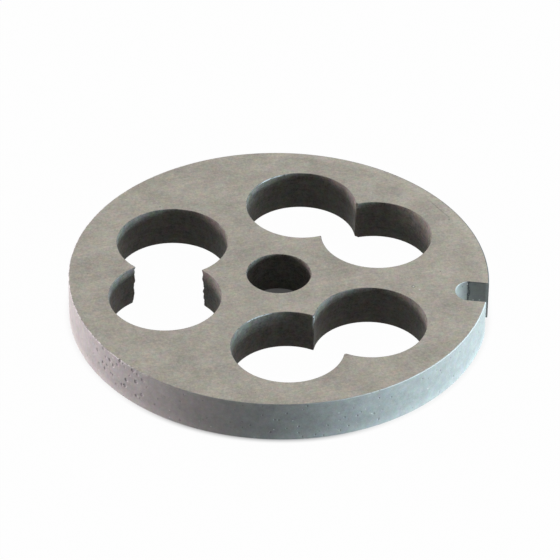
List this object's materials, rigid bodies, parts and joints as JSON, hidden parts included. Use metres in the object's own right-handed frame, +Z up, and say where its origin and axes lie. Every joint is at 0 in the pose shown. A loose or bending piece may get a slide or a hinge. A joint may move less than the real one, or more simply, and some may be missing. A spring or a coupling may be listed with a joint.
{
  "type": "meat grinder plate",
  "caption": "Flat round steel plate for a meat grinder, with a centre bore, large paired-hole openings around it and a keyway in the rim.",
  "frame": {"origin": "middle of the bore on the lower face", "axes": "+Z up along the bore, square to both faces; +X from the bore towards the keyway"},
  "size_m": [0.0619, 0.062, 0.0063],
  "materials": {
    "ground_steel": "surface ground carbon steel, satin, unpolished, with darker hole walls"
  },
  "bodies": {
    "root": {"grinder_plate": "ground_steel"}
  },
  "joints": []
}
